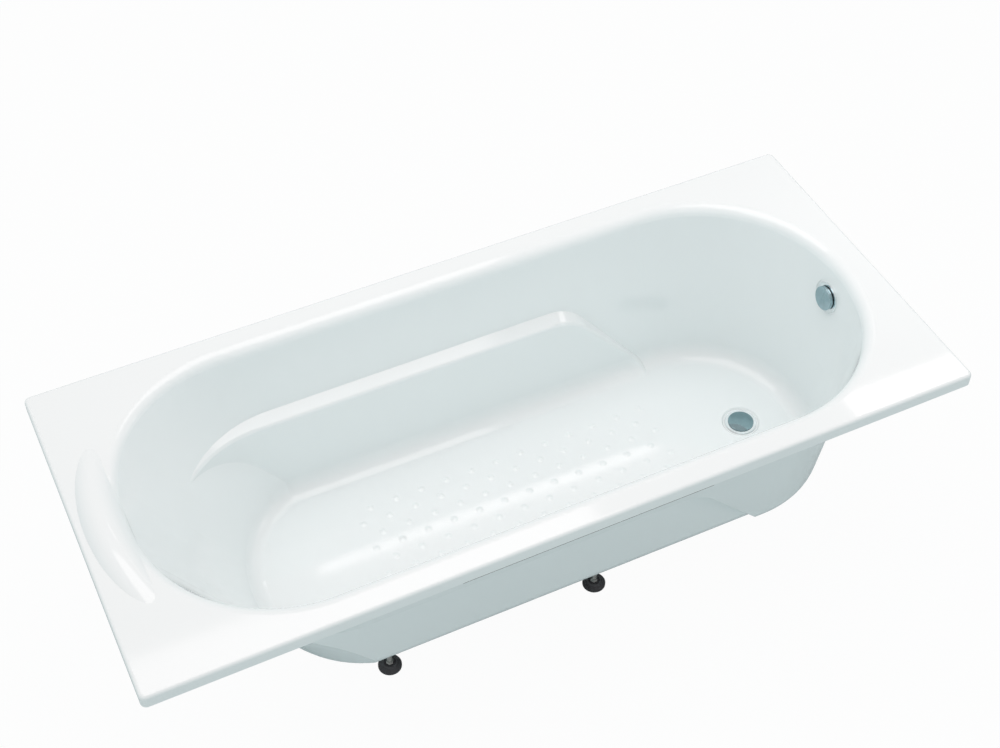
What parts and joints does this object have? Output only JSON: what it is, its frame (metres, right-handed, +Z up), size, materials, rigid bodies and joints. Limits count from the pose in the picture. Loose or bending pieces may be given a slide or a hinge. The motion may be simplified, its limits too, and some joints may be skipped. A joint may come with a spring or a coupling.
{
  "type": "bathtub",
  "caption": "Pressed steel drop-in bathtub: rectangular flat rim, oval basin with armrests and neck roll, pop-up waste, rotary overflow, trap and levelling feet.",
  "frame": {"origin": "on the floor under the feet, below the centre of the rim", "axes": "+X towards the drain and overflow end, +Y towards the far long side, +Z up"},
  "size_m": [1.7, 0.75, 0.576],
  "materials": {
    "enamelled_steel": "glossy white vitreous enamel on pressed steel",
    "chrome": "polished chrome plate",
    "stainless": "plain stainless steel",
    "black_rubber": "soft black rubber",
    "white_plastic": "satin white polypropylene",
    "grey_plastic": "grey acetal",
    "black_plastic": "black moulded plastic",
    "zinc_steel": "bright zinc plated steel",
    "galvanised_steel": "galvanised steel with spangle",
    "bitumen": "dark bitumen damping sheet",
    "adhesive": "cured adhesive"
  },
  "bodies": {
    "bath": {"bath_shell": "enamelled_steel", "bezel_screws": "stainless", "bond_pad_foot_far": "adhesive", "bond_pad_foot_near": "adhesive", "bond_pad_head_far": "adhesive", "bond_pad_head_near": "adhesive", "bowden_cable": "grey_plastic", "bracket_foot_far": "galvanised_steel", "bracket_foot_near": "galvanised_steel", "bracket_head_far": "galvanised_steel", "bracket_head_near": "galvanised_steel", "cable_glands": "grey_plastic", "cross_rail_foot": "galvanised_steel", "cross_rail_head": "galvanised_steel", "drain_flange": "chrome", "drain_gasket_lower": "black_rubber", "drain_gasket_upper": "black_rubber", "earth_lug": "stainless", "earth_screw": "stainless", "floor_mat_foot": "bitumen", "floor_mat_head": "bitumen", "foot_carrier_nuts": "zinc_steel", "foot_jam_nuts": "zinc_steel", "overflow_bezel": "chrome", "overflow_body": "white_plastic", "overflow_gasket": "black_rubber", "overflow_pipe": "white_plastic", "pipe_nuts": "white_plastic", "pipe_seals": "black_rubber", "rail_bolts": "zinc_steel", "rail_nuts": "zinc_steel", "rocker_pin": "stainless", "side_mat_far": "bitumen", "side_mat_near": "bitumen", "trap_bend": "white_plastic", "trap_cleaning_plug": "white_plastic", "trap_inlet_nut": "white_plastic", "trap_inlet_seal": "black_rubber", "trap_outlet_nut": "white_plastic", "trap_outlet_seal": "black_rubber", "trap_tail": "white_plastic", "waste_body": "white_plastic"},
    "plug": {"plug_cap": "chrome", "plug_seal": "black_rubber", "plug_stem": "stainless", "plug_stem_nut": "stainless"},
    "knob": {"knob": "chrome", "knob_crank": "stainless"},
    "rocker": {"rocker": "grey_plastic"},
    "foot_head_near": {"foot_stud_head_near": "zinc_steel", "foot_pad_head_near": "black_plastic"},
    "foot_head_far": {"foot_stud_head_far": "zinc_steel", "foot_pad_head_far": "black_plastic"},
    "foot_foot_near": {"foot_stud_foot_near": "zinc_steel", "foot_pad_foot_near": "black_plastic"},
    "foot_foot_far": {"foot_stud_foot_far": "zinc_steel", "foot_pad_foot_far": "black_plastic"}
  },
  "joints": [
    {"name": "knob_turn", "type": "hinge", "parent": "bath", "child": "knob", "pos_m": [0.7684, 0, 0.473], "axis": [0.994, 0, -0.1097], "range_deg": [0, 75]},
    {"name": "rocker_swing", "type": "hinge", "parent": "bath", "child": "rocker", "pos_m": [0.612, 0, 0.108], "axis": [0, 1, 0], "range_deg": [0, 29.5]},
    {"name": "plug_lift", "type": "slide", "parent": "bath", "child": "plug", "axis": [0, 0, 1], "range_m": [0, 0.01]},
    {"name": "foot_head_near_height", "type": "slide", "parent": "bath", "child": "foot_head_near", "axis": [0, 0, -1], "range_m": [-0.003, 0.033]},
    {"name": "foot_head_far_height", "type": "slide", "parent": "bath", "child": "foot_head_far", "axis": [0, 0, -1], "range_m": [-0.003, 0.033]},
    {"name": "foot_foot_near_height", "type": "slide", "parent": "bath", "child": "foot_foot_near", "axis": [0, 0, -1], "range_m": [-0.003, 0.033]},
    {"name": "foot_foot_far_height", "type": "slide", "parent": "bath", "child": "foot_foot_far", "axis": [0, 0, -1], "range_m": [-0.003, 0.033]}
  ],
  "couplings": [
    {"joint": "rocker_swing", "follows": "knob_turn", "ratio": 0.38667},
    {"joint": "plug_lift", "follows": "knob_turn", "m_per_rad": 0.007487}
  ]
}
